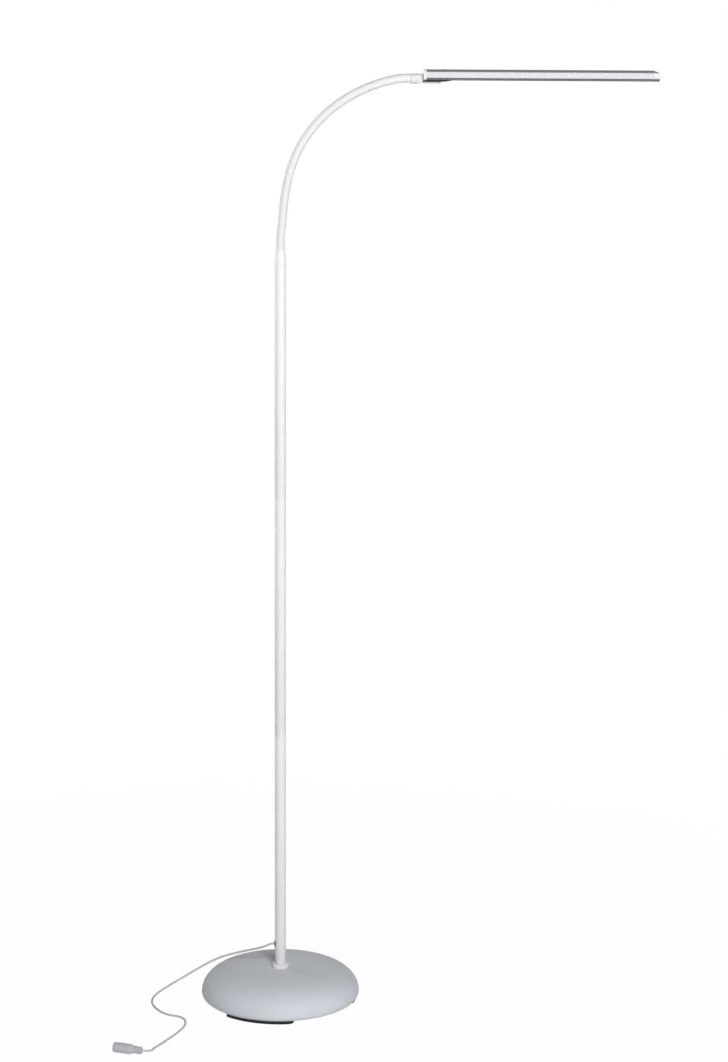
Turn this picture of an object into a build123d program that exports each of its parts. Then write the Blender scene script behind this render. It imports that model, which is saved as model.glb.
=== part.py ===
from build123d import *
import math
import os

# Gooseneck reading floor lamp. Millimetres, +Z up.
# The origin is on the floor, in the middle of the base's underside.
# +X is the way the lamp head points, and -Y faces the viewer.

# ---- weighted base ----
pad_radius = 90.0
pad_thickness = 4.2
lobe_count = 3
lobe_radius = 110.5
lobe_span = 59.0
lobe_corner_radius = 10.0
first_lobe_angle = -106.4
plate_radius = 106.0
plate_thickness = 2.0
cover_radius = 115.0
cover_top = 46.5
cover_wall = 1.6
cover_widest_height = 12.0
cover_side_power = 5.5
cover_crown_power = 1.8
cover_flat_radius = 20.0
cover_rim_radius = 109.5
cover_rim_gap = 0.5
weight_radius = 101.0
weight_height = 16.0
weight_boss_radius = 19.0
weight_edge_chamfer = 2.0
bolt_diameter = 10.0
bolt_head_width = 17.0
bolt_head_height = 6.4
bolt_head_recess = 10.0
bolt_engagement = 15.0
washer_diameter = 24.0
washer_thickness = 1.5
washer_clearance = 1.0
plate_screw_count = 4
plate_screw_diameter = 4.0
plate_screw_head_diameter = 8.0
plate_screw_length = 12.0
plate_screw_circle_radius = 75.0

# ---- pole ----
pole_diameter = 16.0
pole_wall = 1.0
lower_tube_length = 347.0
middle_tube_length = 347.0
upper_tube_length = 328.0
tube_end_chamfer = 0.3
collar_diameter = 24.4
collar_height = 5.8
collar_floor = 1.5
collar_rounding = 1.8
plug_length = 22.0
coupler_length = 50.0
coupler_wall = 3.0
cable_diameter = 3.0

# ---- cord outlet in the pole ----
outlet_height = 82.0
outlet_hole_diameter = 7.4
outlet_lip_diameter = 9.6
outlet_lip_thickness = 0.9
outlet_inner_lip = 1.2

# ---- gooseneck ----
neck_diameter = 12.0
neck_core_diameter = 8.0
neck_bore_diameter = 3.6
neck_end_length = 24.0
neck_link_length = 35.4
# direction of the neck's centreline at its foot, at each pivot and at its end, in degrees from upright
neck_headings = [0.0, 5.0, 6.0, 12.0, 23.0, 36.0, 47.0, 58.0, 68.0, 78.0, 90.0]
joint_cap_radius = 7.5
joint_gap = 0.3
ferrule_height = 22.0
ferrule_straight = 7.0
ferrule_top_wall = 0.7
ferrule_plug_length = 20.0
ferrule_sleeve_depth = 14.0
ferrule_core_depth = 30.0
ferrule_cable_hole = 6.0
grub_screw_diameter = 3.0
grub_screw_length = 4.2

# ---- head bracket ----
bracket_drop = 0.6
bracket_radius = 6.8
bracket_length = 18.0
bracket_sleeve_depth = 11.0
tongue_length = 24.0
tongue_width = 13.0
tongue_thickness = 2.5
shim_length = 39.0
shim_width = 24.0
shim_thickness = 1.8
shim_taper = 10.0
bracket_screw_diameter = 3.0
bracket_screw_head_diameter = 5.6
bracket_screw_setback = 7.0
bracket_screw_spacing = 9.0

# ---- lamp head ----
head_rise = 4.5
head_width = 30.0
head_height = 15.0
head_rounding = 5.0
head_least_rounding = 0.4
head_wall = 1.4
head_slot_width = 20.0
head_channel_width = 25.4
head_channel_height = 4.0
profile_length = 310.0
inner_cap_thickness = 4.4
outer_cap_length = 9.0
outer_cap_bevel = 3.4
cap_plug_length = 5.0
cap_plug_wall = 1.6
nut_plate_length = 26.0
nut_plate_width = 25.0
nut_plate_thickness = 2.5
diffuser_flange = 1.0
diffuser_width = 24.0
led_board_width = 20.0
led_board_thickness = 1.6
led_board_margin = 7.0
led_count = 30
led_length = 2.8
led_width = 3.5
led_height = 0.7

# ---- push switch ----
button_setback = 24.0
button_diameter = 8.6
button_gap = 0.2
button_proud = 0.5
button_travel = 0.6
button_flange_diameter = 10.6
button_flange_thickness = 1.0
button_rounding = 0.4
button_stem_diameter = 3.0
button_stem_length = 0.3
button_over_travel = 0.1
switch_board_length = 30.0
switch_board_width = 22.0
switch_board_thickness = 1.2
board_post_radius = 1.5
board_post_inset = 3.0
switch_body_width = 6.0
switch_body_height = 3.4
switch_tip_diameter = 3.2
switch_tip_height = 0.6
spring_wire = 0.4
spring_diameter = 5.4
spring_turns = 1.5

# ---- cord with its in-line connector ----
cord_diameter = 3.0
cord_bend_share = 0.45
# from the outlet's face, down over the base to the floor, in an S towards the viewer, to the connector
cord_route = [
    (-8.9, 0.0, 82.0),
    (-14.9, 0.3, 81.4),
    (-25.0, 4.5, 74.8),
    (-41.0, 14.5, 67.5),
    (-60.0, 24.5, 60.0),
    (-84.0, 31.0, 51.5),
    (-105.0, 32.0, 42.0),
    (-124.0, 28.0, 31.8),
    (-143.0, 22.0, 21.8),
    (-162.0, 15.5, 12.2),
    (-177.0, 7.0, 5.0),
    (-185.5, -6.0, 1.8),
    (-187.0, -29.0, 1.6),
    (-180.5, -50.0, 1.6),
    (-170.0, -68.0, 1.6),
    (-157.5, -80.0, 1.6),
    (-144.0, -84.0, 1.6),
    (-134.5, -93.5, 1.6),
    (-131.0, -109.0, 1.6),
    (-132.5, -127.0, 1.6),
    (-142.0, -152.0, 1.6),
    (-150.5, -170.0, 1.6),
    (-157.5, -185.5, 1.8),
    (-163.5, -199.5, 2.6),
    (-168.0, -210.0, 4.0),
    (-168.9, -224.6, 6.4),
    (-175.9, -230.3, 7.2),
    (-183.5, -227.9, 7.2),
]
relief_length = 11.0
relief_radius = 5.3
relief_end_chamfer = 0.6
relief_groove_depth = 0.9
relief_groove_width = 1.2
relief_groove_count = 3
relief_tail = 5.0
relief_tail_radius = 3.6
connector_length = 30.0
connector_shoulder = 6.0
connector_taper = 6.0
connector_radius = 7.1
connector_mouth_radius = 6.8
socket_radius = 5.0
socket_depth = 15.0
socket_recess = 0.6
barrel_bore_radius = 2.85
barrel_wall = 0.3
barrel_depth = 9.5
barrel_recess = 0.3
pin_radius = 1.0
pin_length = 9.0

# ---- fits ----
slip_fit = 0.05
screw_clearance = 0.15
thread_clearance = 0.05
touch_gap = 0.05

# ---- heights and places that follow ----
plate_bottom = pad_thickness
weight_bottom = plate_bottom + plate_thickness
cover_rim_height = pad_thickness + cover_rim_gap
cover_inside_top = cover_top - cover_wall
collar_top = cover_top + collar_height
pole_bottom = cover_top + collar_floor
washer_top = weight_bottom + bolt_head_recess
bolt_seat = washer_top - washer_thickness
bolt_tip = pole_bottom + bolt_engagement
lower_joint = pole_bottom + lower_tube_length
upper_joint = lower_joint + middle_tube_length
pole_top = upper_joint + upper_tube_length
pole_radius = pole_diameter / 2
pole_bore_radius = pole_radius - pole_wall
insert_radius = pole_bore_radius - slip_fit
neck_foot = pole_top + ferrule_height
neck_radius = neck_diameter / 2
core_radius = neck_core_diameter / 2
core_bore_radius = neck_bore_diameter / 2
sleeve_bore_radius = core_radius + slip_fit
joint_socket_radius = joint_cap_radius + joint_gap


def ring(outer, inner, bottom, top):
    """Upright tube about the Z axis."""
    height = top - bottom
    body = Cylinder(outer, height, align=(Align.CENTER, Align.CENTER, Align.MIN))
    if inner > 0:
        body -= Cylinder(inner, height, align=(Align.CENTER, Align.CENTER, Align.MIN))
    return Pos(0, 0, bottom) * body


def block(x0, x1, y0, y1, z0, z1):
    """Box between two corners."""
    middle = ((x0 + x1) / 2, (y0 + y1) / 2, (z0 + z1) / 2)
    return Pos(*middle) * Box(x1 - x0, y1 - y0, z1 - z0)


def spun(points):
    """Solid of revolution about Z from (radius, height) points."""
    outline = Polyline(*[(radius, 0, height) for radius, height in points], close=True)
    return revolve(make_face(outline), Axis.Z)


def along_x(section, x0, x1):
    """A YZ section pushed from x0 to x1."""
    return extrude(Plane.YZ.offset(x0) * section, x1 - x0)


# ---- base ----
def dome_point(share, radius, top):
    """A point on the dome's side; share runs from 0 at the widest level to 1 on the axis."""
    angle = share * math.pi / 2
    height = top - cover_widest_height
    return (
        radius * math.cos(angle) ** (2 / cover_side_power),
        0,
        cover_widest_height + height * math.sin(angle) ** (2 / cover_crown_power),
    )


def dome_line(inset):
    """The dome's outline from its rim to the flat round the pole, moved in by the wall."""
    radius = cover_radius - inset
    top = cover_top - inset
    shares = [0, 0.17, 0.34, 0.5, 0.66, 0.8, 0.91]
    points = [dome_point(share, radius, top) for share in shares]
    points.append((cover_flat_radius, 0, top))
    side = Spline(*points, tangents=[(0, 0, 1), (-1, 0, 0)])
    rim = TangentArc(points[0], (cover_rim_radius - inset, 0, cover_rim_height), tangent=(0, 0, -1))
    return side, rim


def make_base_cover():
    outer_side, outer_rim = dome_line(0)
    inner_side, inner_rim = dome_line(cover_wall)
    hole = bolt_diameter / 2 + screw_clearance
    crown = Polyline(
        (cover_flat_radius, 0, cover_top),
        (hole, 0, cover_top),
        (hole, 0, cover_inside_top),
        (cover_flat_radius, 0, cover_inside_top),
    )
    rim_edge = Line(
        (cover_rim_radius, 0, cover_rim_height),
        (cover_rim_radius - cover_wall, 0, cover_rim_height),
    )
    outline = Curve() + [outer_side, outer_rim, rim_edge, inner_rim, inner_side, crown]
    return revolve(make_face(outline.wires()[0]), Axis.Z)


def plate_screw_places():
    """Angles at which the screws hold the plate to the weight."""
    return PolarLocations(plate_screw_circle_radius, plate_screw_count, start_angle=45)


def plate_screw(extra=0.0):
    """Countersunk screw pointing up from the plate's underside; extra widens it to a hole."""
    head = plate_screw_head_diameter / 2 + extra
    shank = plate_screw_diameter / 2 + extra
    return spun([
        (0, plate_bottom),
        (head, plate_bottom),
        (shank, plate_bottom + head - shank),
        (shank, plate_bottom + plate_screw_length + extra),
        (0, plate_bottom + plate_screw_length + extra),
    ])


def make_plate_screws():
    return Compound(children=[place * plate_screw() for place in plate_screw_places()])


def screw_holes():
    return [place * plate_screw(thread_clearance) for place in plate_screw_places()]


def make_base_weight():
    top = weight_bottom + weight_height
    body = ring(weight_radius, 0, weight_bottom, top)
    body = chamfer(body.edges().filter_by(GeomType.CIRCLE), weight_edge_chamfer)
    body += ring(weight_boss_radius, 0, weight_bottom, cover_inside_top)
    body -= ring(bolt_diameter / 2 + screw_clearance, 0, weight_bottom, cover_inside_top)
    body -= ring(washer_diameter / 2 + washer_clearance, 0, weight_bottom, washer_top)
    return body - screw_holes()


def make_base_plate():
    return ring(plate_radius, 0, plate_bottom, weight_bottom) - screw_holes()


def make_foot_pad():
    """Foam sheet that the base stands on, with round-cornered lobes out to the plate's edge."""
    strip = Polyline(
        (pad_radius / 2, 0, 0),
        (lobe_radius, 0, 0),
        (lobe_radius, 0, pad_thickness),
        (pad_radius / 2, 0, pad_thickness),
        close=True,
    )
    lobe = revolve(make_face(strip), Axis.Z, lobe_span)
    upright = lobe.edges().filter_by(Axis.Z)
    corners = [edge for edge in upright if math.hypot(edge.center().X, edge.center().Y) > pad_radius]
    lobe = fillet(corners, lobe_corner_radius)
    sheet = ring(pad_radius, 0, 0, pad_thickness)
    for place in PolarLocations(0, lobe_count, start_angle=first_lobe_angle - lobe_span / 2):
        sheet += place * lobe
    return sheet


def make_bolt_washer():
    return ring(washer_diameter / 2, bolt_diameter / 2 + screw_clearance, bolt_seat, washer_top)


def make_base_bolt():
    head = extrude(RegularPolygon(bolt_head_width / 2, 6, major_radius=False), bolt_head_height)
    shank = ring(bolt_diameter / 2, 0, bolt_seat, bolt_tip)
    return Pos(0, 0, bolt_seat - bolt_head_height) * head + shank


# ---- pole ----
def make_pole_collar():
    body = ring(collar_diameter / 2, bolt_diameter / 2 + screw_clearance, cover_top, collar_top)
    rim = body.edges().filter_by(GeomType.CIRCLE).group_by(Axis.Z)[-1].sort_by(SortBy.RADIUS)[-1]
    body = fillet(rim, collar_rounding)
    return body - ring(pole_radius + slip_fit, 0, pole_bottom, collar_top)


def pole_tube(bottom, top):
    """One length of pole, its outer ends just broken so that the joint shows as a fine line."""
    body = ring(pole_radius, pole_bore_radius, bottom, top)
    ends = body.edges().filter_by(GeomType.CIRCLE).sort_by(SortBy.RADIUS)[-2:]
    return chamfer(ends, tube_end_chamfer)


def outlet_axis():
    """Plane at the outlet, facing away from the pole."""
    return Plane(origin=(0, 0, outlet_height), x_dir=(0, 1, 0), z_dir=(-1, 0, 0))


def make_lower_tube():
    hole = extrude(outlet_axis() * Circle(outlet_hole_diameter / 2), pole_diameter)
    return pole_tube(pole_bottom, lower_joint) - hole


def grub_hole(radius):
    """Cylinder at the back of the pole's top, where the grub screw sits."""
    height = pole_top - ferrule_plug_length / 2
    plane = Plane(origin=(0, pole_radius, height), x_dir=(1, 0, 0), z_dir=(0, -1, 0))
    return extrude(plane * Circle(radius), grub_screw_length)


def make_upper_tube():
    return pole_tube(upper_joint, pole_top) - grub_hole(grub_screw_diameter / 2 + thread_clearance)


def make_pole_plug():
    thread = bolt_diameter / 2 + thread_clearance
    return ring(insert_radius, thread, pole_bottom, pole_bottom + plug_length)


def make_coupler(height):
    half = coupler_length / 2
    return ring(insert_radius, insert_radius - coupler_wall, height - half, height + half)


def make_cord_grommet():
    """Rubber bush with a lip on each side of the pole's wall."""
    outer_face = pole_radius + outlet_lip_thickness
    inner_face = pole_bore_radius - outlet_inner_lip
    lip = extrude(outlet_axis().offset(inner_face) * Circle(outlet_lip_diameter / 2), outer_face - inner_face)
    body = lip - make_lower_tube()
    return body - extrude(outlet_axis() * Circle(cable_diameter / 2 + slip_fit), pole_diameter)


def make_pole_cable():
    """Cable from the outlet, up the middle of the pole, into the neck's foot."""
    outer_face = pole_radius + outlet_lip_thickness
    points = [
        (-outer_face, 0, outlet_height),
        (0, 0, outlet_height),
        (0, 0, neck_foot - ferrule_core_depth),
    ]
    bend = pole_bore_radius - cable_diameter / 2
    path = FilletPolyline(*points, radius=bend)
    return sweep(Plane(origin=points[0], z_dir=(1, 0, 0)) * Circle(cable_diameter / 2), path=path)


# ---- gooseneck ----
def direction(heading):
    angle = math.radians(heading)
    return Vector(math.sin(angle), 0, math.cos(angle))


def neck_step(start, heading, next_heading, length):
    """Where an arc of that length ends when the centreline turns from one heading to the next."""
    a = math.radians(heading)
    b = math.radians(next_heading)
    bend_radius = length / (b - a)
    return start + Vector(math.cos(a) - math.cos(b), 0, math.sin(b) - math.sin(a)) * bend_radius


def neck_points():
    """The neck's foot, its pivots and its end."""
    points = [Vector(0, 0, neck_foot)]
    spans = len(neck_headings) - 1
    for index in range(spans):
        length = neck_end_length if index in (0, spans - 1) else neck_link_length
        step = neck_step(points[-1], neck_headings[index], neck_headings[index + 1], length)
        points.append(step)
    return points


neck_nodes = neck_points()
neck_end = neck_nodes[-1]
last_link = len(neck_headings) - 2


def neck_arc(index):
    """Centreline of one link."""
    start = neck_nodes[index]
    end = neck_nodes[index + 1]
    heading = neck_headings[index]
    next_heading = neck_headings[index + 1]
    half_length = (neck_end_length if index in (0, last_link) else neck_link_length) / 2
    middle = neck_step(start, heading, (heading + next_heading) / 2, half_length)
    return ThreePointArc(start, middle, end)


def neck_tube(index, outer, inner, foot_depth, end_depth):
    """One link of a tube that follows the neck.

    A link starts in a round cap about its lower pivot and ends in a round socket about its upper pivot.
    The first link goes down into the ferrule, and the last goes on into the bracket.
    """
    start = neck_nodes[index]
    end = neck_nodes[index + 1]
    section = Circle(outer) - Circle(inner)
    foot_plane = Plane(origin=start, x_dir=(0, 1, 0), z_dir=direction(neck_headings[index]))
    end_plane = Plane(origin=end, x_dir=(0, 1, 0), z_dir=direction(neck_headings[index + 1]))
    body = sweep(foot_plane * section, path=neck_arc(index))
    if index == 0:
        body += extrude(foot_plane * section, -foot_depth)
    else:
        cap = extrude(foot_plane * section, -joint_cap_radius)
        body += cap & Pos(*start) * Sphere(joint_cap_radius)
    if index == last_link:
        body += extrude(end_plane * section, end_depth)
    else:
        body -= Pos(*end) * Sphere(joint_socket_radius)
    return body


def make_neck_sleeve(index):
    return neck_tube(
        index, neck_radius, sleeve_bore_radius, ferrule_sleeve_depth, bracket_sleeve_depth
    )


def make_neck_core(index):
    return neck_tube(index, core_radius, core_bore_radius, ferrule_core_depth, bracket_length)


def make_neck_ferrule():
    """White cap on the pole: a plug inside the tube and a tapered collar round the neck's foot."""
    top_radius = neck_radius + ferrule_top_wall
    collar = spun([
        (0, pole_top),
        (pole_radius, pole_top),
        (pole_radius, pole_top + ferrule_straight),
        (top_radius, neck_foot),
        (0, neck_foot),
    ])
    body = collar + ring(insert_radius, 0, pole_top - ferrule_plug_length, pole_top)
    body -= ring(neck_radius + slip_fit, 0, neck_foot - ferrule_sleeve_depth, neck_foot)
    body -= ring(core_radius + slip_fit, 0, neck_foot - ferrule_core_depth, neck_foot)
    body -= ring(ferrule_cable_hole / 2, 0, pole_top - ferrule_plug_length, neck_foot)
    return body - grub_hole(grub_screw_diameter / 2 + thread_clearance)


def make_grub_screw():
    body = grub_hole(grub_screw_diameter / 2)
    height = pole_top - ferrule_plug_length / 2
    socket = Plane(origin=(0, pole_radius, height), x_dir=(1, 0, 0), z_dir=(0, -1, 0))
    hexagon = RegularPolygon(grub_screw_diameter / 4, 6, major_radius=False)
    return body - extrude(socket * hexagon, grub_screw_length / 3)


# ---- head: places ----
head_axis = neck_end.Z + head_rise
head_bottom = head_axis - head_height / 2
head_top = head_axis + head_height / 2
bracket_start = neck_end.X
bracket_face = bracket_start + bracket_length
profile_start = bracket_face + inner_cap_thickness
profile_end = profile_start + profile_length
shim_bottom = head_bottom - shim_thickness
tongue_bottom = shim_bottom - tongue_thickness
lip_top = head_bottom + head_wall
shim_end = bracket_face + shim_length
bracket_axis = neck_end.Z - bracket_drop
bracket_screw_start = profile_start + bracket_screw_setback
head_under_top = head_top - head_wall
nut_plate_top = lip_top + nut_plate_thickness


def head_section(inset=0.0):
    """The head's rounded outline in the YZ plane, moved in by inset."""
    rounding = max(head_rounding - inset, head_least_rounding)
    outline = RectangleRounded(head_width - 2 * inset, head_height - 2 * inset, rounding)
    return Pos(0, head_axis) * outline


def slot_section(width, bottom, top):
    return Pos(0, (bottom + top) / 2) * Rectangle(width, top - bottom)


# ---- head: bracket ----
def bracket_screw_places():
    return [bracket_screw_start + index * bracket_screw_spacing for index in range(2)]


def bracket_screw(place, extra=0.0):
    """Countersunk screw pointing up through the tongue, the shim and the nut plate."""
    head = bracket_screw_head_diameter / 2 + extra
    shank = bracket_screw_diameter / 2 + extra
    body = spun([
        (0, tongue_bottom),
        (head, tongue_bottom),
        (shank, tongue_bottom + head - shank),
        (shank, nut_plate_top),
        (0, nut_plate_top),
    ])
    return Pos(place, 0, 0) * body


def make_bracket_screws():
    return Compound(children=[bracket_screw(place) for place in bracket_screw_places()])


def bracket_screw_holes():
    return [bracket_screw(place, thread_clearance) for place in bracket_screw_places()]


def make_head_bracket():
    """Socket round the neck's end, with a tongue that reaches under the head."""
    socket = along_x(Pos(0, bracket_axis) * Circle(bracket_radius), bracket_start, bracket_face)
    half = tongue_width / 2
    root = bracket_start + bracket_length / 2
    tip = bracket_face + tongue_length - half
    sides = Polyline((tip, half), (root, half), (root, -half), (tip, -half))
    nose = ThreePointArc((tip, -half), (tip + half, 0), (tip, half))
    tongue_outline = make_face(Curve() + [sides, nose])
    tongue = extrude(Plane.XY.offset(tongue_bottom) * tongue_outline, tongue_thickness)
    body = socket + tongue
    neck_place = Pos(0, neck_end.Z)
    sleeve_end = bracket_start + bracket_sleeve_depth
    body -= along_x(neck_place * Circle(neck_radius + slip_fit), bracket_start, sleeve_end)
    body -= along_x(neck_place * Circle(core_radius + slip_fit), bracket_start, bracket_face)
    return body - bracket_screw_holes()


def make_bracket_shim():
    """Dark packing between the tongue and the head, which also fills the end of the head's slot."""
    side = Polyline(
        (bracket_face, shim_bottom),
        (shim_end - shim_taper, shim_bottom),
        (shim_end, head_bottom),
        (bracket_face, head_bottom),
        close=True,
    )
    plane = Plane(origin=(0, shim_width / 2, 0), x_dir=(1, 0, 0), z_dir=(0, -1, 0))
    body = extrude(plane * make_face(side), shim_width)
    width = head_slot_width - 2 * touch_gap
    body += along_x(slot_section(width, head_bottom, lip_top), profile_start + cap_plug_length, shim_end)
    return body - bracket_screw_holes()


def make_nut_plate():
    start = profile_start + cap_plug_length
    body = along_x(
        slot_section(nut_plate_width, lip_top, nut_plate_top), start, start + nut_plate_length
    )
    return body - bracket_screw_holes()


# ---- head: shell ----
def button_centre():
    return profile_start + button_setback


def make_head_profile():
    section = head_section() - head_section(head_wall)
    section -= slot_section(head_slot_width, head_bottom - 1, head_axis)
    section -= slot_section(head_channel_width, lip_top, lip_top + head_channel_height)
    body = along_x(section, profile_start, profile_end)
    hole = Cylinder(button_diameter / 2 + button_gap, 4 * head_wall)
    return body - Pos(button_centre(), 0, head_top) * hole


def cap_plug(x0, x1):
    """Hollow plug that fits inside the profile, open towards the slot."""
    section = head_section(head_wall + touch_gap) - head_section(head_wall + cap_plug_wall)
    section -= slot_section(head_slot_width, head_bottom, head_axis)
    return along_x(section, x0, x1)


def make_inner_end_cap():
    body = along_x(head_section(), bracket_face, profile_start)
    body += cap_plug(profile_start, profile_start + cap_plug_length)
    hole = Pos(0, neck_end.Z) * Circle(core_bore_radius)
    return body - along_x(hole, bracket_face, profile_start)


def make_outer_end_cap():
    """End cap with its top bevelled down towards the tip."""
    tip = profile_end + outer_cap_length
    body = along_x(head_section(), profile_end, tip)
    wedge = Polyline(
        (profile_end, head_top),
        (tip, head_top - outer_cap_bevel),
        (tip, head_top + 1),
        (profile_end, head_top + 1),
        close=True,
    )
    plane = Plane(origin=(0, head_width, 0), x_dir=(1, 0, 0), z_dir=(0, -1, 0))
    body -= extrude(plane * make_face(wedge), 2 * head_width)
    return body + cap_plug(profile_end - cap_plug_length, profile_end)


# ---- head: light ----
def make_diffuser():
    width = head_slot_width - 2 * touch_gap
    section = slot_section(width, head_bottom, lip_top)
    section += slot_section(diffuser_width, lip_top, lip_top + diffuser_flange)
    body = along_x(section, shim_end + touch_gap, profile_end)
    clear = slot_section(diffuser_width + 1, lip_top, lip_top + 2 * diffuser_flange)
    return body - along_x(clear, profile_end - cap_plug_length - touch_gap, profile_end)


led_board_start = shim_end + led_board_margin
led_board_end = profile_end - cap_plug_length - led_board_margin
led_board_bottom = head_under_top - led_board_thickness


def make_led_board():
    half = led_board_width / 2
    return block(led_board_start, led_board_end, -half, half, led_board_bottom, head_under_top)


def make_leds():
    pitch = (led_board_end - led_board_start) / led_count
    bottom = led_board_bottom - led_height
    chips = []
    for index in range(led_count):
        middle = led_board_start + (index + 0.5) * pitch
        x0 = middle - led_length / 2
        chips.append(block(x0, x0 + led_length, -led_width / 2, led_width / 2, bottom, led_board_bottom))
    return Compound(children=chips)


# ---- head: push switch ----
button_flange_top = head_under_top
button_flange_bottom = button_flange_top - button_flange_thickness
button_stem_bottom = button_flange_bottom - button_stem_length
switch_tip_top = button_stem_bottom - button_travel - button_over_travel
switch_body_top = switch_tip_top - switch_tip_height
switch_board_top = switch_body_top - switch_body_height
switch_board_bottom = switch_board_top - switch_board_thickness


def make_push_button():
    crown = ring(button_diameter / 2, 0, button_flange_bottom, head_top + button_proud)
    rim = crown.edges().filter_by(GeomType.CIRCLE).group_by(Axis.Z)[-1]
    crown = fillet(rim, button_rounding)
    flange = ring(button_flange_diameter / 2, 0, button_flange_bottom, button_flange_top)
    stem = ring(button_stem_diameter / 2, 0, button_stem_bottom, button_flange_bottom)
    return Pos(button_centre(), 0, 0) * (crown + flange + stem)


def make_button_spring():
    """Light return spring between the switch's body and the button's flange."""
    height = button_flange_bottom - switch_body_top - spring_wire
    path = Helix(pitch=height / spring_turns, height=height, radius=(spring_diameter - spring_wire) / 2)
    wire = sweep(Plane(origin=path @ 0, z_dir=path % 0) * Circle(spring_wire / 2), path=path, is_frenet=True)
    return Pos(button_centre(), 0, switch_body_top + spring_wire / 2) * wire


def make_switch():
    """Momentary switch on the small board: a square body with a round tip."""
    half = switch_body_width / 2
    body = block(-half, half, -half, half, switch_board_top, switch_body_top)
    body += ring(switch_tip_diameter / 2, 0, switch_body_top, switch_tip_top)
    return Pos(button_centre(), 0, 0) * body


def make_switch_board():
    """Small board above the nut plate, on two posts."""
    start = profile_start + cap_plug_length + touch_gap
    half = switch_board_width / 2
    body = block(start, start + switch_board_length, -half, half, switch_board_bottom, switch_board_top)
    for side in (-1, 1):
        post = ring(board_post_radius, 0, nut_plate_top, switch_board_bottom)
        body += Pos(start + board_post_inset, side * (half - board_post_inset), 0) * post
    return body


# ---- cord and connector ----
def bend_radii(route):
    """Radius at each corner: a share of the shorter run, over the tangent of half the turn."""
    radii = []
    for before, corner, after in zip(route, route[1:], route[2:]):
        run_in = Vector(*corner) - Vector(*before)
        run_out = Vector(*after) - Vector(*corner)
        half_turn = math.radians(run_in.get_angle(run_out) / 2)
        shorter = min(run_in.length, run_out.length)
        radii.append(cord_bend_share * shorter / math.tan(half_turn))
    return radii


cord_start = Vector(*cord_route[0])
cord_end = Vector(*cord_route[-1])
connector_direction = (cord_end - Vector(*cord_route[-2])).normalized()


def make_cord():
    radii = bend_radii(cord_route)
    print("cord bend radii:", [round(radius, 1) for radius in radii])
    path = FilletPolyline(*cord_route, radius=radii)
    run_in = Vector(*cord_route[1]) - cord_start
    tube = sweep(Plane(origin=cord_start, z_dir=run_in) * Circle(cord_diameter / 2), path=path)
    section = math.pi * cord_diameter ** 2 / 4
    print("cord length:", round(path.length, 1))
    print("cord volume over section times length:", round(tube.volume / (section * path.length), 4))
    return tube


def on_connector(points):
    """Solid of revolution about the connector's axis, from (distance from the cord's end, radius) points."""
    outline = Polyline(*[(radius, distance) for distance, radius in points], close=True)
    body = revolve(Plane.XZ * make_face(outline), Axis.Z)
    place = Plane(origin=cord_end, x_dir=(0, 0, 1), z_dir=connector_direction)
    return place.location * body


shell_start = relief_length
shell_end = relief_length + connector_length
socket_floor = shell_end - socket_depth


def make_strain_relief():
    """Ribbed sleeve on the cord, with a tail that the shell grips."""
    body = on_connector([
        (0, 0),
        (0, relief_radius - relief_end_chamfer),
        (relief_end_chamfer, relief_radius),
        (shell_start, relief_radius),
        (shell_start, relief_tail_radius),
        (shell_start + relief_tail, relief_tail_radius),
        (shell_start + relief_tail, 0),
    ])
    pitch = relief_length / (relief_groove_count + 1)
    for index in range(relief_groove_count):
        start = (index + 1) * pitch - relief_groove_width / 2
        body -= on_connector([
            (start, relief_radius - relief_groove_depth),
            (start + relief_groove_width, relief_radius - relief_groove_depth),
            (start + relief_groove_width, relief_radius + 1),
            (start, relief_radius + 1),
        ])
    return body


def make_connector_shell():
    return on_connector([
        (shell_start, relief_tail_radius + touch_gap),
        (shell_start, relief_radius),
        (shell_start + connector_shoulder, connector_radius),
        (shell_end - connector_taper, connector_radius),
        (shell_end, connector_mouth_radius),
        (shell_end, socket_radius),
        (socket_floor, socket_radius),
        (socket_floor, 0),
        (shell_start + relief_tail + touch_gap, 0),
        (shell_start + relief_tail + touch_gap, relief_tail_radius + touch_gap),
    ])


def make_connector_insert():
    """Dark carrier that lines the socket and holds the contacts."""
    face = shell_end - socket_recess
    barrel_radius = barrel_bore_radius + barrel_wall
    return on_connector([
        (socket_floor, pin_radius),
        (socket_floor, socket_radius - touch_gap),
        (face, socket_radius - touch_gap),
        (face, barrel_radius),
        (face - barrel_depth, barrel_radius),
        (face - barrel_depth, pin_radius),
    ])


def make_connector_contacts():
    """Barrel contact and centre pin."""
    face = shell_end - socket_recess
    barrel = on_connector([
        (face - barrel_depth, barrel_bore_radius),
        (face - barrel_depth, barrel_bore_radius + barrel_wall),
        (face - barrel_recess, barrel_bore_radius + barrel_wall),
        (face - barrel_recess, barrel_bore_radius),
    ])
    pin = on_connector([
        (socket_floor, 0),
        (socket_floor, pin_radius),
        (face - barrel_depth + pin_length, pin_radius),
        (face - barrel_depth + pin_length, 0),
    ])
    return Compound(children=[barrel, pin])


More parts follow.
